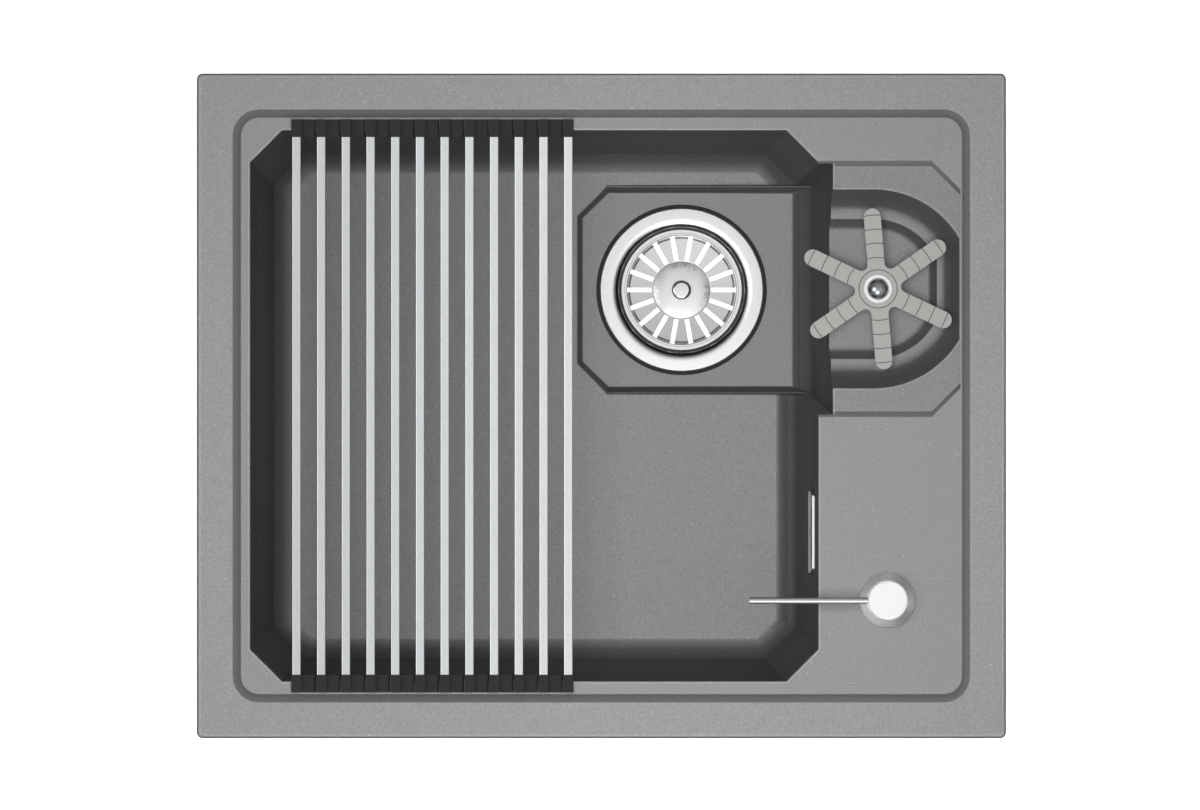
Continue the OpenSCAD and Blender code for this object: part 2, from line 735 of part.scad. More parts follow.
// Chamber behind the wall, with a tube through the wall, a hub for the screw and an outlet down
module overflow_body() {
    f = wall_across + gasket_t;
    c = f + over_flange_t;
    color(plastic) difference() {
        union() {
            at_overflow() rotate([0, 90, 0]) {
                translate([0, 0, f]) cylinder(r = over_flange_r, h = over_flange_t);
                translate([0, 0, c]) cylinder(r = chamber_r, h = chamber_l);
                translate([0, 0, pocket_t]) cylinder(r = over_hole_r - 0.3, h = c);
            }
            translate([pipe_x, over_y, pipe_z1]) cylinder(r = pipe_r, h = 30);
        }
        at_overflow() rotate([0, 90, 0]) difference() {
            union() {
                cylinder(r = over_hole_r - 2, h = c + 1);
                translate([0, 0, c]) cylinder(r = chamber_r - 2.5, h = chamber_l - 2.5);
            }
            translate([0, 0, f]) cylinder(r = 4, h = chamber_l + over);
        }
        at_overflow() rotate([0, 90, 0]) cylinder(r = 2 + push_gap, h = wall_across + 17);
        translate([pipe_x, over_y, pipe_z1 - 1]) cylinder(r = pipe_r - pipe_t, h = 22);
    }
}

// Drop pipe, a bend and a run to the waste body
module overflow_pipe() {
    bend_x = pipe_span - pipe_bend_r;
    color(plastic) translate([drain_x, drain_y, 0]) rotate([0, 0, pipe_turn]) {
        translate([pipe_span, 0, 0])
            ring(pipe_r, pipe_r - pipe_t, pipe_z0 + pipe_bend_r, pipe_z1);
        translate([bend_x, 0, pipe_z0 + pipe_bend_r]) rotate([90, 0, 0])
            rotate_extrude(angle = -90) translate([pipe_bend_r, 0]) difference() {
                circle(r = pipe_r);
                circle(r = pipe_r - pipe_t);
            }
        translate([0, 0, pipe_z0]) rotate([0, 90, 0])
            ring(pipe_r, pipe_r - pipe_t, spigot_end, bend_x);
    }
}

// Coupling nuts over the two joints of the pipe
module overflow_nuts() {
    color(rubber) {
        translate([pipe_x, over_y, pipe_z1]) coupling_nut();
        translate([drain_x, drain_y, pipe_z0]) rotate([0, 0, pipe_turn])
            translate([spigot_end, 0, 0]) rotate([0, 90, 0]) coupling_nut();
    }
}

module coupling_nut() {
    r = pipe_r + nut_t;
    ring(r, pipe_r + push_gap, -nut_l / 2, nut_l / 2);
    for (i = [0 : 11]) rotate([0, 0, 30 * i]) translate([r - 0.5, -1, -nut_l / 2 + 2])
        cube([1.5, 2, nut_l - 4]);
}

module rinser_gasket() {
    color(rubber) at_rinser() ring(rinser_base_r, shank_r + 0.6, 0, gasket_t);
}

// Base flange, column with a cap, clamped shank and threaded tail
module rinser_body() {
    color(plastic) at_rinser() difference() {
        union() {
            translate([0, 0, gasket_t]) cylinder(r = rinser_base_r, h = 2.5);
            translate([0, 0, gasket_t]) cylinder(r = column_r, h = column_h - gasket_t);
            translate([0, 0, shank_z]) cylinder(r = shank_r, h = gasket_t + 1 - shank_z);
            translate([0, 0, shank_z - tail_len]) cylinder(r = tail_r, h = tail_len + 1);
        }
        translate([0, 0, cavity_z]) cylinder(r = cavity_r, h = column_h - cap_t - cavity_z);
        translate([0, 0, column_h - cap_t - 1]) cylinder(r = plunger_r + run_gap, h = cap_t + 2);
        translate([0, 0, shank_z - tail_len - 1]) cylinder(r = water_bore_r, h = cavity_z - shank_z + tail_len + 2);
    }
}

module rinser_nut() {
    color(plastic) at_rinser() difference() {
        union() {
            translate([0, 0, -wall_t - rinser_nut_h])
                cylinder(r = shank_r + 6, h = rinser_nut_h, $fn = 6);
            translate([0, 0, -wall_t - 2]) cylinder(r = shank_r + 7.5, h = 2);
        }
        translate([0, 0, -wall_t - rinser_nut_h - 1])
            cylinder(r = shank_r + push_gap, h = rinser_nut_h + 2);
    }
}

// Piston with its groove, stem and the spigot that carries the star
module rinser_plunger() {
    p = piston_z - 0.1;
    color(steel) at_rinser() rotate_extrude() polygon([
        [0, p], [cavity_r - run_gap, p], [cavity_r - run_gap, p + 1], [cavity_r - 1.8, p + 1],
        [cavity_r - 1.8, p + 3], [cavity_r - run_gap, p + 3], [cavity_r - run_gap, p + piston_t],
        [plunger_r, p + piston_t], [plunger_r, stem_top], [spigot_r, stem_top],
        [spigot_r, stem_top + star_t + 1], [0, stem_top + star_t + 1]]);
}

module rinser_seal() {
    color(rubber) at_rinser() translate([0, 0, piston_z + 1.9]) rotate_extrude()
        translate([cavity_r - 1.1, 0]) circle(r = 0.65);
}

module rinser_spring() {
    color(steel) at_rinser() coil(cavity_r - 1.8, 0.7, cavity_z, piston_z - 0.1, 6);
}

// Six round-ended arms with thin arc grooves, and a groove round the hub
module rinser_star() {
    color(star_grey) at_rinser() translate([0, 0, stem_top]) difference() {
        linear_extrude(star_t) offset(r = -notch_r, $fn = 32) offset(delta = notch_r)
            for (i = [0 : 5]) rotate([0, 0, star_turn + 60 * i]) {
                translate([0, -arm_w / 2]) square([star_r - arm_w / 2, arm_w]);
                translate([star_r - arm_w / 2, 0]) circle(d = arm_w, $fn = 32);
            }
        translate([0, 0, -1]) cylinder(r = spigot_r + push_gap, h = star_t + 2);
        for (r = [13.5, 22.2, 32.3, 42.2, 52.2]) ring(r + 0.3, r - 0.3, star_t - 0.4, star_t + 1);
    }
}

// Chrome ring and dome that clamp the star
module rinser_nozzle() {
    z = stem_top + star_t;
    color(chrome) at_rinser() difference() {
        union() {
            rotate_extrude() polygon([
                [0, z], [9.85, z], [9.85, z + 0.8], [9.2, z + 1.6], [8.6, z + 1.6],
                [7.9, z + 0.9], [0, z + 0.9]]);
            translate([0, 0, z + 0.5]) intersection() {
                sphere(r = 7.6);
                cylinder(r = 8, h = 8);
            }
        }
        translate([0, 0, z - 1]) cylinder(r = spigot_r + push_gap, h = 2.1);
    }
}

module dispenser_gasket() {
    color(rubber) at_pump() ring(base_r - 0.6, tube_r + 1.2, 0, 1);
}

// Conical flange and threaded tube
module dispenser_base() {
    color(steel) at_pump() rotate_extrude() polygon([
        [tube_bore_r, base_h], [tube_r + 1, base_h], [tube_r + 1.4, base_h - 0.3],
        [base_r - 0.2, 2.4], [base_r, 2], [base_r, 1], [tube_r, 1], [tube_r, -tube_l],
        [tube_bore_r, -tube_l]]);
}

module dispenser_washer() {
    color(rubber) at_pump() ring(clamp_nut_w / 2 + 2, tube_r + 0.4, -wall_t - washer_t, -wall_t);
}

module dispenser_nut() {
    color(plastic) at_pump() difference() {
        translate([0, 0, -wall_t - washer_t - clamp_nut_h])
            cylinder(d = clamp_nut_w, h = clamp_nut_h, $fn = 6);
        translate([0, 0, -wall_t - washer_t - clamp_nut_h - 1])
            cylinder(r = tube_r + push_gap, h = clamp_nut_h + 2);
    }
}

// Neck over the tube, sloping shoulder and straight body
module dispenser_bottle() {
    neck_r = tube_r + push_gap;
    low = bottle_top - bottle_len;
    color(plastic) at_pump() rotate_extrude() polygon([
        [neck_r, bottle_top], [neck_r + 2.6, bottle_top], [neck_r + 2.6, -tube_l - 1],
        [bottle_r - 2, -tube_l - 9], [bottle_r, -tube_l - 12], [bottle_r, low + 3],
        [bottle_r - 3, low], [0, low], [0, low + bottle_t], [bottle_r - 3.5, low + bottle_t],
        [bottle_r - bottle_t, low + 3.6], [bottle_r - bottle_t, -tube_l - 12.4],
        [bottle_r - bottle_t - 2, -tube_l - 10], [neck_r, -tube_l - 1.5]]);
}

// Cap that seats on the base and guides the rod
module pump_collar() {
    in_r = tube_bore_r - run_gap;
    color(chrome) at_pump() rotate_extrude() polygon([
        [rod_r + run_gap, base_h + collar_h], [tube_r - 1.4, base_h + collar_h],
        [tube_r - 0.6, base_h + collar_h - 0.8], [tube_r - 0.6, base_h], [in_r, base_h],
        [in_r, base_h - collar_in], [rod_r + run_gap, base_h - collar_in]]);
}

// Barrel under the collar, with a socket for the dip tube
module pump_cylinder() {
    top = base_h - collar_in;
    r = barrel_r + barrel_t;
    color(plastic) at_pump() rotate_extrude() polygon([
        [barrel_r, top], [tube_bore_r - run_gap, top], [tube_bore_r - run_gap, top - 2],
        [r, top - 2], [r, barrel_z], [4.4, barrel_z - 2], [4.4, barrel_z - 9],
        [3 + push_gap, barrel_z - 9], [3 + push_gap, barrel_z - 3], [1.5, barrel_z - 3],
        [1.5, barrel_z + 1], [3.4, barrel_z + 3], [barrel_r, barrel_z + 3]]);
}

module dip_tube() {
    color(plastic) at_pump()
        ring(3, 2, bottle_top - bottle_len + bottle_t + 6, barrel_z - 3);
}

// Hollow rod with the piston on its lower end
module pump_piston() {
    z = pump_piston_z;
    color(plastic) at_pump() rotate_extrude() polygon([
        [1.5, z], [barrel_r - run_gap, z], [barrel_r - run_gap, z + 4], [rod_r, z + 5],
        [rod_r, head_lift + 14], [1.5, head_lift + 14]]);
}

module pump_spring() {
    color(steel) at_pump() coil(barrel_r - 1.2, 0.6, spring_z, pump_piston_z, 8);
}

// Neck and cap with a socket for the rod, and the hole for the spout
module pump_head() {
    z = head_lift;
    color(chrome) at_pump() difference() {
        rotate_extrude() polygon([
            [0, z], [8, z], [8, z + 5], [head_r - 1.2, z + 6], [head_r, z + 7.2],
            [head_r, z + head_h - 2], [head_r - 0.6, z + head_h - 0.9],
            [head_r - 2, z + head_h - 0.2], [0, z + head_h]]);
        translate([0, 0, z - 1]) cylinder(r = rod_r + run_gap, h = 15 + run_gap);
        translate([0, 0, z]) cylinder(r = 1.5, h = spout_z - z + 1.5);
        translate([0, 0, spout_z]) rotate([0, -90, 0]) cylinder(r = 1.5, h = 12);
        translate([-8, 0, spout_z]) rotate([0, -90, 0]) cylinder(r = spout_r + push_gap, h = 12);
    }
}

module pump_spout() {
    color(chrome) at_pump() translate([-8, 0, spout_z]) rotate([0, -90, 0]) difference() {
        cylinder(r = spout_r, h = spout_reach - 8);
        translate([0, 0, -1]) cylinder(r = 1.4, h = spout_reach);
    }
}

// Bar number i of the drying mat, a square tube with round corners
module mat_bar(i) {
    half = mat_half - sleeve_wall;
    color(steel) translate([mat_x + i * bar_pitch, half, bar_z]) rotate([90, 0, 0])
        linear_extrude(2 * half) difference() {
            round_rect(bar_w, bar_w, bar_corner_r);
            round_rect(bar_w - 2 * bar_t, bar_w - 2 * bar_t, bar_corner_r - bar_t);
        }
}

// Sleeves on both ends of bar i, with the webs that reach to the next bar's sleeves
module mat_ends(i) {
    hinge_x = bar_pitch - sleeve_w / 2 - run_gap - web_t / 2;
    color(rubber) translate([mat_x + i * bar_pitch, 0, 0]) for (s = [-1, 1]) {
        difference() {
            translate([-sleeve_w / 2, s > 0 ? mat_half - sleeve_l : -mat_half, deck_z])
                cube([sleeve_w, sleeve_l, sleeve_h]);
            translate([0, mat_half - sleeve_wall, bar_z]) rotate([90, 0, 0])
                linear_extrude(2 * (mat_half - sleeve_wall)) round_rect(bar_w, bar_w, bar_corner_r);
        }
        if (i < mat_n - 1) translate([0, s > 0 ? mat_half : -mat_half + sleeve_l, web_z]) {
            translate([sleeve_w / 2, -sleeve_l, 0])
                cube([hinge_x - sleeve_w / 2, sleeve_l, web_t]);
            translate([hinge_x, 0, web_t / 2]) rotate([90, 0, 0])
                cylinder(d = web_t, h = sleeve_l);
        }
    }
}

basin();
flange_gasket();
waste_flange();
waste_seal();
waste_body();
waste_bolt();
basket_cup();
basket_knob();
basket_stem();
basket_seal();
overflow_cover();
overflow_screw();
overflow_gasket();
overflow_body();
overflow_pipe();
overflow_nuts();
rinser_gasket();
rinser_body();
rinser_nut();
rinser_plunger();
rinser_seal();
rinser_spring();
rinser_star();
rinser_nozzle();
dispenser_gasket();
dispenser_base();
dispenser_washer();
dispenser_nut();
dispenser_bottle();
pump_collar();
pump_cylinder();
dip_tube();
pump_piston();
pump_spring();
pump_head();
pump_spout();
for (i = [0 : mat_n - 1]) mat_bar(i);
for (i = [0 : mat_n - 1]) mat_ends(i);
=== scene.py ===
import json
import math

import bpy
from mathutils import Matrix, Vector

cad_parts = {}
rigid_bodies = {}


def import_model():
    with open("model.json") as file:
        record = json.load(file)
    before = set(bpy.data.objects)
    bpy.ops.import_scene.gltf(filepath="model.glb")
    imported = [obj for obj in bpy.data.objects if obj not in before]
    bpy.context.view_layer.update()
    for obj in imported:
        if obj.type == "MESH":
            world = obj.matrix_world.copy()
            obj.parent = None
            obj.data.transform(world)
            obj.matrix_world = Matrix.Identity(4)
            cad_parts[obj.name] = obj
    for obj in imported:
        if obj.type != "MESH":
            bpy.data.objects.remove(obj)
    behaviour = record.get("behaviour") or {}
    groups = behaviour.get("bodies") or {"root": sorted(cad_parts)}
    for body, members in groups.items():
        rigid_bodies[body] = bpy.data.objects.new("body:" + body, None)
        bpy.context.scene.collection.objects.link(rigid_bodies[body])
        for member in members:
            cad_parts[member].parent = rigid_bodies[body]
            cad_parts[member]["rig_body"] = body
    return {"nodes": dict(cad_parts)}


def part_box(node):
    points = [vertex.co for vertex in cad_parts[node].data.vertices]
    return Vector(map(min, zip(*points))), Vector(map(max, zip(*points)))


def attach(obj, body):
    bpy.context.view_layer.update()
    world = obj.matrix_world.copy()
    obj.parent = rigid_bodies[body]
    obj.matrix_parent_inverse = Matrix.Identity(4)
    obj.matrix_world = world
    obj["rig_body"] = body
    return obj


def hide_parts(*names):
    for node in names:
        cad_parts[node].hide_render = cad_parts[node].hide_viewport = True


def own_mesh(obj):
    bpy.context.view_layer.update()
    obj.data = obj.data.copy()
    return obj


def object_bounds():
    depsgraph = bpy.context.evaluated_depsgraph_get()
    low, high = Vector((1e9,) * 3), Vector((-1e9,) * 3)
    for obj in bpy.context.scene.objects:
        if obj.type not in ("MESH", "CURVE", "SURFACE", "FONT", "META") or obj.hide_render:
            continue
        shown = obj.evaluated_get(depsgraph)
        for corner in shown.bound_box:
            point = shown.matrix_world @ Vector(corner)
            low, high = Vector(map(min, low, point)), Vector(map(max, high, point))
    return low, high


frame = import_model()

cad_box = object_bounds()
scene = bpy.context.scene
MM = 0.001

# Heights and places of the basin in millimetres; its hollows are the recess and the side basin

RIM_TOP = 9
DECK = 2
SHELF = -2.5
SIDE_LIP = -4
SIDE_FLOOR = -32.5
BOWL_FLOOR = -191
RECESS_FLOOR = -199
HOLLOWS_FRONT = 5
HOLLOWS_BACK = 157
BOWL_MIDDLE = (-46, 0)
SIDE_MIDDLE = (188, 81)
RECESS_MIDDLE = (56, 81)

# Distances from the axes of the waste and the rinser, in millimetres, where finishes change: the
# dish's painted glow, the painted shade of the gap and the wedges, and the painted reflections of the
# dome and the ring

DISH_REACH = 40
GAP_INNER = 42
GAP_OUTER = 45.5
WEDGE_INNER = 21
WEDGE_OUTER = 36.8
DOME_REACH = 7.7


# Selecting and editing, as by hand

def pick(piece):
    """Only this piece is selected and active."""
    bpy.ops.object.select_all(action="DESELECT")
    piece.select_set(True)
    bpy.context.view_layer.objects.active = piece


def apply_modifiers(piece):
    """Every modifier of the piece becomes part of its mesh."""
    pick(piece)
    for modifier in list(piece.modifiers):
        bpy.ops.object.modifier_apply(modifier=modifier.name)


def box_of(node):
    """A part's lowest and highest corner, and its middle."""
    low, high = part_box(node)
    return low, high, (low + high) / 2


def worked_copy(node, name, finish, crease=32, edge=0.0, sharp=32, shape=None, flat=0.3):
    """A merged copy of a part, with eased edges and smooth curves, that stands for it."""
    source = frame["nodes"][node]
    piece = bpy.data.objects.new(name, source.data.copy())
    scene.collection.objects.link(piece)
    piece.data.materials.clear()
    piece.data.materials.append(finish)
    pick(piece)
    bpy.ops.mesh.customdata_custom_splitnormals_clear()
    bpy.ops.object.mode_set(mode="EDIT")
    bpy.ops.mesh.select_all(action="SELECT")
    bpy.ops.mesh.remove_doubles(threshold=0.002 * MM)
    bpy.ops.mesh.dissolve_limited(angle_limit=math.radians(flat))
    bpy.ops.object.mode_set(mode="OBJECT")
    if shape:
        shape(piece)
    bpy.ops.object.shade_smooth_by_angle(angle=math.radians(crease))
    if edge > 0:
        bevel = piece.modifiers.new("eased edge", "BEVEL")
        bevel.width = edge * MM
        bevel.segments = 2
        bevel.limit_method = "ANGLE"
        bevel.angle_limit = math.radians(sharp)
        bevel.harden_normals = True
        bevel.use_clamp_overlap = True
    normals = piece.modifiers.new("flat faces stay flat", "WEIGHTED_NORMAL")
    normals.keep_sharp = True
    normals.weight = 90
    apply_modifiers(piece)
    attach(piece, source["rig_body"])
    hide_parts(node)
    return piece


def part_finish(piece, finish, chosen):
    """Gives the chosen faces of a piece one more finish."""
    piece.data.materials.append(finish)
    slot = len(piece.data.materials) - 1
    for face in piece.data.polygons:
        if chosen(face.center, face.normal):
            face.material_index = slot


def away(place, centre):
    """Distance from an upright axis, in millimetres."""
    return math.hypot(place.x - centre.x, place.y - centre.y) / MM


# Shapes that copies of the parts are brought to

def tall_fillets(piece):
    """Makes the fillets at the floor taller and tighter at their foot, as the moulded ones are."""
    radius, rise, power, upper = 14, 26, 1.4, 140
    for vertex in piece.data.vertices:
        x, y, z = (c / MM for c in vertex.co)
        by_the_recess = x > 128 and HOLLOWS_FRONT < y < HOLLOWS_BACK
        floor = RECESS_FLOOR if by_the_recess else BOWL_FLOOR
        up = z - floor
        if 0.02 < up < radius:
            out = math.sqrt(1 - (1 - up / radius) ** 2)
            up = rise * (1 - (1 - out ** power) ** (1 / power))
        elif radius <= up < upper:
            up = rise + (up - radius) * (upper - rise) / (upper - radius)
        vertex.co.z = (floor + up) * MM


def eased_fall(across, bend, flat):
    """Share of a slope's fall at a share of its width: straight to the bend, then easing to flat."""
    if across <= bend:
        fallen = across
    else:
        reach = min(across, flat) - bend
        fallen = bend + reach - reach ** 2 / (2 * (flat - bend))
    return fallen / ((bend + flat) / 2)


def side_basin_depth(z):
    """Height of a point of the side basin once its upper wall is steeper and its ledge deeper."""
    ledge, lower_rim = -17.5, -18.1
    new_ledge = -24
    new_lower_rim = new_ledge - 0.3
    if z >= ledge:
        across = 1 - math.sqrt(1 - ((SIDE_LIP - z) / (SIDE_LIP - ledge)) ** 2)
        return SIDE_LIP - (SIDE_LIP - new_ledge) * eased_fall(across, 0.4, 0.84)
    down = (lower_rim - min(z, lower_rim)) / (lower_rim - SIDE_FLOOR)
    across = 1 - math.sqrt(max(0, 1 - down ** 2))
    return new_lower_rim - (new_lower_rim - SIDE_FLOOR) * eased_fall(across, 0.35, 0.85)


def moulded_shape(piece):
    """Brings the basin's copy to the moulded shape: its fillets and its side basin's curves."""
    tall_fillets(piece)
    for vertex in piece.data.vertices:
        x, y, z = (c / MM for c in vertex.co)
        if x > 140 and HOLLOWS_FRONT < y < HOLLOWS_BACK and SIDE_FLOOR < z < SIDE_LIP:
            vertex.co.z = side_basin_depth(z) * MM


def under_the_worktop(centre, normal):
    """True for a face of the basin's outside, which hangs under the worktop."""
    x, y, z = (c / MM for c in centre)
    if z > -1 or (z > SHELF - 0.5 and normal.z > 0):
        return False
    if x > 100 and normal.x > 0.5:
        return True
    beside_hollows = HOLLOWS_FRONT - 2 < y < HOLLOWS_BACK + 2
    middle = BOWL_MIDDLE
    if beside_hollows and x > 163 and z > -42:
        middle = SIDE_MIDDLE
    elif beside_hollows and x > -60 and z < -190:
        middle = RECESS_MIDDLE
    outward = normal.x * (x - middle[0]) + normal.y * (y - middle[1])
    return normal.z < -0.2 or (outward > 0 and normal.z < 0.3)


def crisp_edges(piece):
    """Tightens the round edges of a square bar that lies along Y."""
    half_width = 3 * MM
    round_from = 1.55 * MM
    kept_share = 0.45
    for axis in (0, 2):
        middle = min(vertex.co[axis] for vertex in piece.data.vertices) + half_width
        for vertex in piece.data.vertices:
            reach = vertex.co[axis] - middle
            if abs(reach) > round_from:
                new_reach = half_width - (half_width - abs(reach)) * kept_share
                vertex.co[axis] = middle + math.copysign(new_reach, reach)


def deep_frame(piece):
    """Gives the overflow cover a thin front plate, a narrow gap and a deep rear frame."""
    lean = math.tan(math.radians(4.51))
    wall = 146.96
    cover_height = -38
    stops = ((-2.4, -2.7), (-1.4, -2.25), (-0.2, -1.75), (1.2, 1.2))
    for vertex in piece.data.vertices:
        depth = vertex.co.x / MM - wall - (vertex.co.z / MM - cover_height) * lean
        for (low, new_low), (high, new_high) in zip(stops, stops[1:]):
            if depth <= high or high == stops[-1][0]:
                new_depth = new_low + (depth - low) * (new_high - new_low) / (high - low)
                vertex.co.x += (new_depth - depth) * MM
                break


def star_shrinks(piece):
    """Draws the star's arms in a little."""
    share = 0.98
    pick(piece)
    bpy.ops.object.mode_set(mode="EDIT")
    bpy.ops.mesh.select_all(action="SELECT")
    bpy.ops.transform.resize(value=(share, share, 1), center_override=(rinser.x, rinser.y, 0))
    bpy.ops.object.mode_set(mode="OBJECT")


# What the finishes are made of

def new_finish(name):
    """An empty finish: its nodes, its links and its shader."""
    finish = bpy.data.materials.new(name)
    finish.use_nodes = True
    tree = finish.node_tree
    tree.nodes.clear()
    output = tree.nodes.new("ShaderNodeOutputMaterial")
    shader = tree.nodes.new("ShaderNodeBsdfPrincipled")
    tree.links.new(shader.outputs["BSDF"], output.inputs["Surface"])
    return finish, tree, shader


def object_place(tree, centre=(0, 0, 0), stretch=(1, 1, 1)):
    """Object coordinates, centred on a place and stretched."""
    place = tree.nodes.new("ShaderNodeTexCoord")
    mapping = tree.nodes.new("ShaderNodeMapping")
    mapping.vector_type = "TEXTURE"
    mapping.inputs["Location"].default_value = centre
    mapping.inputs["Scale"].default_value = stretch
    tree.links.new(place.outputs["Object"], mapping.inputs["Vector"])
    return mapping.outputs["Vector"]


def one_axis(tree, coordinates, axis):
    """One axis of the place on the object, of the surface's normal or of the sky's direction."""
    place = tree.nodes.new("ShaderNodeTexCoord")
    split = tree.nodes.new("ShaderNodeSeparateXYZ")
    tree.links.new(place.outputs[coordinates], split.inputs["Vector"])
    return split.outputs[axis]


def grain(tree, vector, scale, detail, roughness):
    """Noise of a given fineness."""
    noise = tree.nodes.new("ShaderNodeTexNoise")
    noise.inputs["Scale"].default_value = scale
    noise.inputs["Detail"].default_value = detail
    noise.inputs["Roughness"].default_value = roughness
    tree.links.new(vector, noise.inputs["Vector"])
    return noise.outputs["Fac"]


def turned_lines(tree, centre, scale):
    """Fine rings round an upright axis, as a lathe or a brush leaves them."""
    split = tree.nodes.new("ShaderNodeSeparateXYZ")
    tree.links.new(object_place(tree, centre), split.inputs["Vector"])
    flat = tree.nodes.new("ShaderNodeCombineXYZ")
    tree.links.new(split.outputs["X"], flat.inputs["X"])
    tree.links.new(split.outputs["Y"], flat.inputs["Y"])
    radius = tree.nodes.new("ShaderNodeVectorMath")
    radius.operation = "LENGTH"
    tree.links.new(flat.outputs["Vector"], radius.inputs[0])
    noise = tree.nodes.new("ShaderNodeTexNoise")
    noise.noise_dimensions = "1D"
    noise.inputs["Scale"].default_value = scale
    noise.inputs["Detail"].default_value = 3
    tree.links.new(radius.outputs["Value"], noise.inputs["W"])
    return noise.outputs["Fac"]


def ramp(tree, value, stops, blend="LINEAR"):
    """A value turned into a colour, between stops that each have a place and a colour."""
    node = tree.nodes.new("ShaderNodeValToRGB")
    node.color_ramp.interpolation = blend
    elements = node.color_ramp.elements
    for number, (place, colour) in enumerate(stops):
        stop = elements[number] if number < 2 else elements.new(place)
        stop.position = place
        stop.color = (*colour, 1)
    tree.links.new(value, node.inputs["Fac"])
    return node.outputs["Color"]


def times(colour, share):
    """A plain colour made darker or lighter, up to white."""
    return tuple(min(1, c * share) for c in colour)


def rescale(tree, value, low, high, new_low, new_high):
    """A value moved from one range to another."""
    node = tree.nodes.new("ShaderNodeMapRange")
    node.inputs["From Min"].default_value = low
    node.inputs["From Max"].default_value = high
    node.inputs["To Min"].default_value = new_low
    node.inputs["To Max"].default_value = new_high
    tree.links.new(value, node.inputs["Value"])
    return node.outputs["Result"]


def combine(tree, operation, *values):
    """Values, each a link or a plain number, put together by one sum."""
    node = tree.nodes.new("ShaderNodeMath")
    node.operation = operation
    for socket, value in zip(node.inputs, values):
        if isinstance(value, (int, float)):
            socket.default_value = value
        else:
            tree.links.new(value, socket)
    return node.outputs["Value"]


def shaded(tree, colour, share):
    """A linked colour made darker or lighter by a linked share."""
    node = tree.nodes.new("ShaderNodeVectorMath")
    node.operation = "SCALE"
    tree.links.new(colour, node.inputs["Vector"])
    tree.links.new(share, node.inputs["Scale"])
    return node.outputs["Vector"]


def bump(tree, shader, height, strength, distance):
    """Fine relief of a surface."""
    node = tree.nodes.new("ShaderNodeBump")
    node.inputs["Strength"].default_value = strength
    node.inputs["Distance"].default_value = distance * MM
    tree.links.new(height, node.inputs["Height"])
    tree.links.new(node.outputs["Normal"], shader.inputs["Normal"])


def level_share(tree, steep, level, low, high):
    """A value that goes from low on steep faces to high on level ones."""
    return rescale(tree, one_axis(tree, "Normal", "Z"), steep, level, low, high)


def height_share(tree, low, high, at_low, at_high):
    """A value that goes from one to another between two heights, in millimetres."""
    return rescale(tree, one_axis(tree, "Object", "Z"), low * MM, high * MM, at_low, at_high)


def along_share(tree, left, right, at_left, at_right):
    """A value that goes from one to another between two places on X, in millimetres."""
    return rescale(tree, one_axis(tree, "Object", "X"), left * MM, right * MM, at_left, at_right)


def height_band(tree, low, high, below, above, more):
    """One, and more between two heights, easing in below and out above, in millimetres."""
    coming = height_share(tree, low - below, low, 0, 1)
    going = height_share(tree, high, high + above, 1, 0)
    return combine(tree, "MULTIPLY_ADD", combine(tree, "MULTIPLY", coming, going), more, 1)


# Finishes

def painted_slope_shade(tree):
    """Painted shade of the composite by its slope: steep faces are made darker, the most in the side
    basin and the recess.
    """
    above_side_basin = height_share(tree, SIDE_LIP - 2, SIDE_LIP, 1, 0)
    below_side_basin = height_share(tree, -60, -45, 0, 1)
    side_basin = combine(tree, "MULTIPLY", above_side_basin, below_side_basin)
    recess = height_share(tree, BOWL_FLOOR - 1.5, BOWL_FLOOR - 0.5, 1, 0)
    slopes = tree.nodes.new("ShaderNodeMix")
    tree.links.new(combine(tree, "MAXIMUM", side_basin, recess), slopes.inputs["Factor"])
    tree.links.new(level_share(tree, 0.5, 0.99, 0.42, 1), slopes.inputs["A"])
    tree.links.new(level_share(tree, 0.78, 0.99, 0.36, 0.95), slopes.inputs["B"])
    return slopes.outputs["Result"]


def painted_shade_and_edge_highlights(tree):
    """Painted shade and painted highlights of the composite: darker on slopes, at the shelf and below,
    on the deck and below, towards the foot of the rim's step and to the left of the bowl floor;
    lighter in painted highlight bands along the edges of the rim, the deck, the shelf and the floor.
    """
    painted_step_foot_shade = 0.76
    over_the_floor = height_share(tree, -190, -150, 0, 1)
    painted_shade_left_to_right = along_share(tree, -230, -20, 0.86, 1.05)
    # Painted shade: the shelf and below, the deck and below, the foot of the rim's step and the left
    # of the bowl floor are made darker
    shares = (
        height_share(tree, SHELF + 0.3, SHELF + 1.9, 0.86, 1),
        height_share(tree, DECK + 0.5, DECK + 4, 0.91, 1),
        combine(tree, "MAXIMUM", over_the_floor, painted_shade_left_to_right),
        height_share(tree, DECK + 0.15, DECK + 4, painted_step_foot_shade, 1),
        height_share(tree, DECK + 0.02, DECK + 0.12, 1 / painted_step_foot_shade, 1),
        # Painted highlights: light bands along the edges of the rim, the deck, the shelf and the floor
        height_band(tree, RIM_TOP - 0.6, RIM_TOP - 0.1, 0.4, 0.08, 0.3),
        height_band(tree, DECK - 0.5, DECK - 0.08, 0.5, 0.06, 0.55),
        height_band(tree, SHELF - 0.5, SHELF - 0.08, 0.5, 0.06, 0.5),
        height_band(tree, BOWL_FLOOR + 0.2, BOWL_FLOOR + 0.7, 0.15, 0.6, 0.22),
    )
    tone = painted_slope_shade(tree)
    for share in shares:
        tone = combine(tree, "MULTIPLY", tone, share)
    return tone


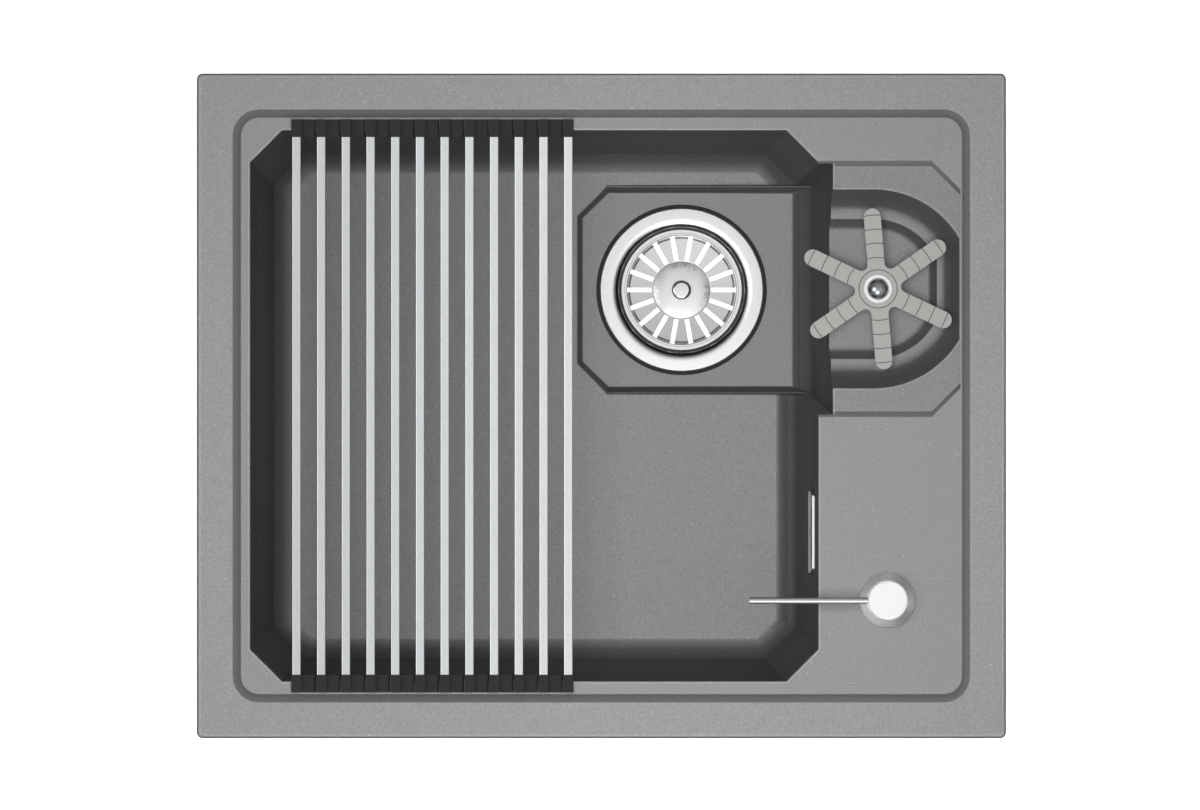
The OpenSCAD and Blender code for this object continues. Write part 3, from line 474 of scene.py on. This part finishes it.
def granite_composite(name, with_painted_shade):
    """Grey quartz composite: fine two-tone grain and light specks, and, where asked for, painted shade
    and painted edge highlights by slope, height and place.
    """
    finish, tree, shader = new_finish(name)
    vector = object_place(tree)
    fine = grain(tree, vector, 950, 3, 0.65)
    body = ramp(tree, fine, ((0.3, (0.215, 0.215, 0.215)), (0.72, (0.33, 0.33, 0.328))))
    cells = tree.nodes.new("ShaderNodeTexVoronoi")
    cells.inputs["Scale"].default_value = 330
    tree.links.new(vector, cells.inputs["Vector"])
    near = rescale(tree, cells.outputs["Distance"], 0.1, 0.2, 1, 0)
    split = tree.nodes.new("ShaderNodeSeparateColor")
    tree.links.new(cells.outputs["Color"], split.inputs["Color"])
    few = rescale(tree, split.outputs["Red"], 0.86, 0.96, 0, 0.55)
    mix = tree.nodes.new("ShaderNodeMix")
    mix.data_type = "RGBA"
    mix.inputs["B"].default_value = (0.6, 0.6, 0.59, 1)
    tree.links.new(combine(tree, "MULTIPLY", near, few), mix.inputs["Factor"])
    tree.links.new(body, mix.inputs["A"])
    tone = mix.outputs["Result"]
    # The inner faces get painted shade and painted highlights; the underside keeps the plain tone
    if with_painted_shade:
        tone = shaded(tree, tone, painted_shade_and_edge_highlights(tree))
    tree.links.new(tone, shader.inputs["Base Color"])
    tree.links.new(level_share(tree, 0.2, 0.75, 0.85, 0.5), shader.inputs["Roughness"])
    shader.inputs["Specular IOR Level"].default_value = 0.4
    bump(tree, shader, fine, 0.25, 0.12)
    return finish


def painted_cone_glints(tree, centre, tone):
    """Painted highlights and painted shade: soft light and dark fans on a cone, in turns from the
    left, standing in for the reflections of a turned surface.
    """
    gradient = tree.nodes.new("ShaderNodeTexGradient")
    gradient.gradient_type = "RADIAL"
    tree.links.new(object_place(tree, centre), gradient.inputs["Vector"])
    shares = (
        (0.0, 1.0), (0.13, 1.0), (0.25, 0.72), (0.38, 0.55), (0.5, 0.95),
        (0.64, 0.72), (0.76, 1.0), (0.82, 0.88), (0.92, 1.0),
    )
    stops = [(turn, (share, share, share)) for turn, share in shares]
    shade = tree.nodes.new("ShaderNodeVectorMath")
    shade.operation = "MULTIPLY"
    tree.links.new(tone, shade.inputs[0])
    tree.links.new(ramp(tree, gradient.outputs["Fac"], stops, "EASE"), shade.inputs[1])
    return shade.outputs["Vector"]


def steel_turned(name, centre, colour, shine, lines, depth, painted_glints=False):
    """Stainless steel with fine rings round a centre, and painted fans of highlight and shade when
    asked for.
    """
    finish, tree, shader = new_finish(name)
    rings = turned_lines(tree, centre, lines)
    tone = ramp(tree, rings, ((0.25, times(colour, 0.95)), (0.75, colour)))
    if painted_glints:
        tone = painted_cone_glints(tree, centre, tone)
    tree.links.new(tone, shader.inputs["Base Color"])
    shader.inputs["Metallic"].default_value = 1.0
    rough = rescale(tree, rings, 0.2, 0.8, shine - 0.04, shine + 0.06)
    tree.links.new(rough, shader.inputs["Roughness"])
    bump(tree, shader, rings, depth, 0.02)
    return finish


def steel_brushed_along(name, stretch, colour, shine, painted_fade=None):
    """Stainless steel brushed along one axis, with painted shade that makes it a little darker to the
    left when asked for.
    """
    finish, tree, shader = new_finish(name)
    lines = grain(tree, object_place(tree, stretch=stretch), 2600, 3, 0.6)
    tone = ramp(tree, lines, ((0.3, times(colour, 0.96)), (0.7, colour)))
    if painted_fade:
        tone = shaded(tree, tone, along_share(tree, *painted_fade))
    tree.links.new(tone, shader.inputs["Base Color"])
    shader.inputs["Metallic"].default_value = 1.0
    rough = rescale(tree, lines, 0.25, 0.75, shine - 0.05, shine + 0.07)
    tree.links.new(rough, shader.inputs["Roughness"])
    bump(tree, shader, lines, 0.1, 0.015)
    return finish


def bright_plate(name, colour, shine):
    """Polished or plated metal, with the faint cloudiness of a wiped surface."""
    finish, tree, shader = new_finish(name)
    haze = grain(tree, object_place(tree), 160, 3, 0.5)
    tone = ramp(tree, haze, ((0.3, times(colour, 0.97)), (0.7, colour)))
    tree.links.new(tone, shader.inputs["Base Color"])
    shader.inputs["Metallic"].default_value = 1.0
    rough = rescale(tree, haze, 0.3, 0.7, shine * 0.85, shine * 1.25)
    tree.links.new(rough, shader.inputs["Roughness"])
    bump(tree, shader, haze, 0.03, 0.02)
    return finish


def moulded(name, colour, shine, fineness, relief, spread, specular=0.5):
    """Moulded plastic or rubber with a fine eroded texture."""
    finish, tree, shader = new_finish(name)
    texture = grain(tree, object_place(tree), fineness, 2, 0.5)
    tone = ramp(tree, texture, ((0.3, times(colour, 1 - spread)), (0.7, times(colour, 1 + spread))))
    tree.links.new(tone, shader.inputs["Base Color"])
    rough = rescale(tree, texture, 0.3, 0.7, shine - 0.05, shine + 0.05)
    tree.links.new(rough, shader.inputs["Roughness"])
    shader.inputs["Specular IOR Level"].default_value = specular
    bump(tree, shader, texture, relief, 0.03)
    return finish


def painted_glow_white():
    """The polished dish floor with a painted glow: it shines by itself, so that it shows white through
    the basket's slots.
    """
    finish, tree, shader = new_finish("glowing_dish_white")
    haze = grain(tree, object_place(tree), 240, 2, 0.5)
    tone = ramp(tree, haze, ((0.3, (0.86, 0.86, 0.865)), (0.7, (0.92, 0.92, 0.925))))
    tree.links.new(tone, shader.inputs["Base Color"])
    tree.links.new(tone, shader.inputs["Emission Color"])
    shader.inputs["Emission Strength"].default_value = 0.8
    shader.inputs["Roughness"].default_value = 0.35
    return finish


drain = box_of("waste_flange")[2]
pump = box_of("pump_head")[2]
rinser = box_of("rinser_nozzle")[2]

# The basin's inside carries painted shade and painted highlights; its outside is plain
composite = granite_composite("granite_composite", with_painted_shade=True)
underside_composite = granite_composite("underside_composite", with_painted_shade=False)

flange_steel = steel_turned(
    "flange_steel", drain, (0.92, 0.92, 0.92), shine=0.34, lines=5200, depth=0.05
)
basket_steel = steel_turned(
    "basket_steel", drain, (0.78, 0.785, 0.79), shine=0.22, lines=4000, depth=0.05
)
# Painted shade: a darker copy of the basket's steel for its wedge plates
painted_wedge_shade = steel_turned(
    "painted_wedge_shade", drain, (0.6, 0.605, 0.61), shine=0.26, lines=4000, depth=0.05
)
# The pump's base gets painted fans of highlight and shade
base_steel = steel_turned(
    "base_steel", pump, (0.98, 0.98, 0.985), shine=0.3, lines=6000, depth=0.2, painted_glints=True
)
# The mat's bars get painted shade, darker towards the left
bar_steel = steel_brushed_along(
    "bar_steel", (1, 30, 1), (0.72, 0.74, 0.75), shine=0.3, painted_fade=(-210, -20, 0.76, 0.98)
)
rod_steel = steel_brushed_along("rod_steel", (30, 1, 1), (0.54, 0.545, 0.55), shine=0.27)

chrome = bright_plate("chrome", (0.86, 0.865, 0.87), shine=0.06)
plain_steel = bright_plate("plain_steel", (0.72, 0.725, 0.73), shine=0.24)
# Painted reflection: a dark chrome for the nozzle's dome, standing in for the dark surroundings it
# reflects
dark_reflection_dome = bright_plate("dark_reflection_dome", (0.3, 0.31, 0.32), shine=0.1)
# Painted shade: a dark steel for the wall in the gap round the basket
painted_gap_shade = bright_plate("painted_gap_shade", (0.16, 0.165, 0.17), shine=0.3)

gasket_rubber = moulded(
    "gasket_rubber", (0.012, 0.012, 0.012),
    shine=0.55, fineness=900, relief=0.1, spread=0.2, specular=0.35,
)
silicone = moulded(
    "silicone", (0.015, 0.015, 0.015),
    shine=0.6, fineness=1500, relief=0.2, spread=0.15, specular=0.28,
)
star_plastic = moulded(
    "star_plastic", (0.36, 0.36, 0.347), shine=0.5, fineness=1500, relief=0.2, spread=0.05
)
star_shadow = moulded(
    "star_shadow", (0.07, 0.07, 0.068), shine=0.6, fineness=1500, relief=0.2, spread=0.05
)
# Painted reflection: a white for the nozzle's chrome ring, standing in for the bright sky it reflects
bright_reflection_ring = moulded(
    "bright_reflection_ring", (0.88, 0.885, 0.89), shine=0.22, fineness=600, relief=0.02, spread=0.01
)
cap_white = moulded(
    "cap_white", (0.8, 0.8, 0.805), shine=0.32, fineness=700, relief=0.05, spread=0.01
)
fitting_white = moulded(
    "fitting_white", (0.74, 0.74, 0.73), shine=0.4, fineness=1200, relief=0.15, spread=0.03
)
fitting_grey = moulded(
    "fitting_grey", (0.2, 0.2, 0.2), shine=0.5, fineness=1200, relief=0.2, spread=0.08
)
glowing_dish_white = painted_glow_white()


# The basin and its waste

basin = worked_copy("basin", "cast_basin", composite, crease=38, shape=moulded_shape)
part_finish(basin, underside_composite, under_the_worktop)

flange = worked_copy("waste_flange", "pressed_flange", flange_steel, crease=28)
# Painted light: the dish floor under the basket's slots glows
part_finish(flange, glowing_dish_white, lambda c, n: n.z > 0.3 and away(c, drain) < DISH_REACH)
# Painted shade: the gap's wall round the basket gets the dark steel
part_finish(flange, painted_gap_shade, lambda c, n: GAP_INNER < away(c, drain) < GAP_OUTER and n.z < 0.8)
worked_copy("flange_gasket", "flange_ring", gasket_rubber, edge=0.3)
worked_copy("waste_seal", "floor_ring", gasket_rubber, edge=0.3)
worked_copy("waste_body", "moulded_waste", fitting_white)
worked_copy("waste_bolt", "hollow_bolt", plain_steel)
basket = worked_copy("basket_cup", "stamped_basket", basket_steel, crease=28)
# Painted shade: the basket's wedge plates get the darker copy of its steel
part_finish(basket, painted_wedge_shade, lambda c, n: WEDGE_INNER < away(c, drain) < WEDGE_OUTER and n.z > 0.7)
worked_copy("basket_knob", "basket_button", basket_steel, edge=0.2)
worked_copy("basket_stem", "basket_pin", plain_steel)
worked_copy("basket_seal", "plug_ring", gasket_rubber)


# The overflow

worked_copy("overflow_cover", "pressed_cover", chrome, flat=0.05, shape=deep_frame)
worked_copy("overflow_screw", "cover_screw", plain_steel)
worked_copy("overflow_gasket", "overflow_ring", gasket_rubber)
worked_copy("overflow_body", "overflow_chamber", fitting_white)
worked_copy("overflow_pipe", "overflow_tube", fitting_white)
worked_copy("overflow_nuts", "overflow_collars", fitting_grey)


# The glass rinser

worked_copy("rinser_gasket", "rinser_ring", gasket_rubber, edge=0.2)
worked_copy("rinser_body", "rinser_housing", star_plastic)
worked_copy("rinser_nut", "rinser_clamp", fitting_grey)
worked_copy("rinser_plunger", "rinser_stem", fitting_white)
worked_copy("rinser_seal", "stem_ring", gasket_rubber)
star = worked_copy(
    "rinser_star", "pressing_star", star_plastic, edge=0.35, sharp=40, shape=star_shrinks
)
groove_top = box_of("rinser_star")[1].z - 0.2 * MM
part_finish(star, star_shadow, lambda c, n: n.z > 0.7 and groove_top - MM < c.z < groove_top)
nozzle = worked_copy("rinser_nozzle", "spray_cap", chrome, crease=40, flat=0.01)
part_finish(nozzle, dark_reflection_dome, lambda c, n: away(c, rinser) < DOME_REACH)
# Painted dark reflection on the nozzle's dome
part_finish(nozzle, bright_reflection_ring, lambda c, n: away(c, rinser) > DOME_REACH)
# Painted bright reflection on the nozzle's ring


# The soap dispenser

worked_copy("dispenser_gasket", "base_ring", gasket_rubber)
worked_copy("dispenser_base", "turned_base", base_steel, edge=0.2)
worked_copy("dispenser_washer", "base_washer", gasket_rubber)
worked_copy("dispenser_nut", "base_clamp", fitting_grey)
worked_copy("dispenser_bottle", "soap_bottle", fitting_white)
worked_copy("pump_collar", "screw_collar", base_steel, edge=0.2)
worked_copy("pump_cylinder", "pump_barrel", fitting_white)
worked_copy("dip_tube", "suction_tube", fitting_white)
worked_copy("pump_piston", "pump_stem", fitting_white)
worked_copy("pump_head", "domed_cap", cap_white, crease=50)
worked_copy("pump_spout", "spout_rod", rod_steel, crease=50, edge=0.25)


# The roll-up mat

for number in range(1, 13):
    worked_copy(
        f"mat_bar_{number:02d}", f"square_bar_{number:02d}", bar_steel,
        crease=40, shape=crisp_edges,
    )
    worked_copy(f"mat_ends_{number:02d}", f"sleeves_{number:02d}", silicone, edge=0.35)


# The springs, which shorten when the pump and the rinser are pressed; each copy gets a mesh of its own

barrel_spring = worked_copy("pump_spring", "barrel_coil", plain_steel, crease=60)
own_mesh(barrel_spring)
stem_spring = worked_copy("rinser_spring", "stem_coil", plain_steel, crease=60)
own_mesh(stem_spring)


# Floor, lights and camera

def camera_sees(tree):
    """One for what the camera sees, straight or through a clear piece, and otherwise nought."""
    rays = tree.nodes.new("ShaderNodeLightPath")
    return combine(tree, "MAXIMUM", rays.outputs["Is Camera Ray"], rays.outputs["Is Transmission Ray"])


def pale_floor():
    """A plain pale floor that looks white to the camera and keeps the shadow."""
    bpy.ops.mesh.primitive_plane_add(size=12, location=(0, 0, cad_box[0][2] - 0.5 * MM))
    floor = bpy.context.object
    floor.name = "floor"
    finish = bpy.data.materials.new("pale_floor")
    finish.use_nodes = True
    tree = finish.node_tree
    tree.nodes.clear()
    output = tree.nodes.new("ShaderNodeOutputMaterial")
    matt = tree.nodes.new("ShaderNodeBsdfDiffuse")
    matt.inputs["Color"].default_value = (0.86, 0.86, 0.86, 1)
    glow = tree.nodes.new("ShaderNodeEmission")
    both = tree.nodes.new("ShaderNodeAddShader")
    tree.links.new(combine(tree, "MULTIPLY", camera_sees(tree), 0.8), glow.inputs["Strength"])
    tree.links.new(matt.outputs["BSDF"], both.inputs[0])
    tree.links.new(glow.outputs["Emission"], both.inputs[1])
    tree.links.new(both.outputs["Shader"], output.inputs["Surface"])
    floor.data.materials.append(finish)


def soft_window(tree, aim, light):
    """A light strength with one bright patch of sky added to it."""
    place = tree.nodes.new("ShaderNodeTexCoord")
    near = tree.nodes.new("ShaderNodeVectorMath")
    near.operation = "DOT_PRODUCT"
    near.inputs[1].default_value = aim
    tree.links.new(place.outputs["Generated"], near.inputs[0])
    patch = rescale(tree, near.outputs["Value"], 0.92, 0.985, 0, 4)
    return combine(tree, "ADD", light, patch)


def mixed(tree, share, first, second):
    """The first shader, and the second by its share."""
    node = tree.nodes.new("ShaderNodeMixShader")
    tree.links.new(share, node.inputs["Fac"])
    tree.links.new(first.outputs[0], node.inputs[1])
    tree.links.new(second.outputs[0], node.inputs[2])
    return node


def studio_world():
    """White to the camera, a soft grey fill for matt surfaces, a graded sky for metal."""
    world = bpy.data.worlds.new("studio")
    scene.world = world
    world.use_nodes = True
    tree = world.node_tree
    tree.nodes.clear()
    output = tree.nodes.new("ShaderNodeOutputWorld")
    fill = tree.nodes.new("ShaderNodeBackground")
    fill.inputs["Color"].default_value = (0.05, 0.05, 0.051, 1)
    white = tree.nodes.new("ShaderNodeBackground")
    white.inputs["Color"].default_value = (1, 1, 1, 1)
    sky = tree.nodes.new("ShaderNodeBackground")
    horizon = (0.26, 0.26, 0.265)
    midway = (0.58, 0.58, 0.585)
    zenith = (1, 1, 1)
    stops = ((0.0, horizon), (0.6, midway), (0.95, zenith))
    tree.links.new(ramp(tree, one_axis(tree, "Generated", "Z"), stops), sky.inputs["Color"])
    light = rescale(tree, one_axis(tree, "Generated", "Y"), 0.3, -0.3, 0.8, 1.2)
    from_left = (-0.68, -0.1, 0.73)
    from_front = (-0.1, -0.68, 0.73)
    for aim in (from_left, from_front):
        light = soft_window(tree, aim, light)
    tree.links.new(light, sky.inputs["Strength"])
    rays = tree.nodes.new("ShaderNodeLightPath")
    lit = mixed(tree, rays.outputs["Is Glossy Ray"], fill, sky)
    final = mixed(tree, camera_sees(tree), lit, white)
    tree.links.new(final.outputs["Shader"], output.inputs["Surface"])


def softbox(name, place, size, power, spread):
    """A soft lamp with a honeycomb that shines straight down."""
    lamp = bpy.data.lights.new(name, "AREA")
    lamp.shape = "SQUARE"
    lamp.size = size
    lamp.energy = power
    lamp.spread = math.radians(spread)
    holder = bpy.data.objects.new(name, lamp)
    holder.location = place
    holder.visible_camera = False
    holder.visible_glossy = False
    scene.collection.objects.link(holder)


def straight_above():
    """A long lens straight above the sink, as in the photograph."""
    lens = bpy.data.cameras.new("camera")
    lens.sensor_width = 36
    lens.lens = 1000
    lens.clip_end = 60
    holder = bpy.data.objects.new("camera", lens)
    holder.location = (-0.00097, 0.00062, 23.075)
    scene.collection.objects.link(holder)
    scene.camera = holder


pale_floor()
studio_world()
softbox("key", place=(-0.04, -0.1, 3.2), size=1.1, power=6.5, spread=35)
straight_above()

scene.view_settings.view_transform = "Standard"
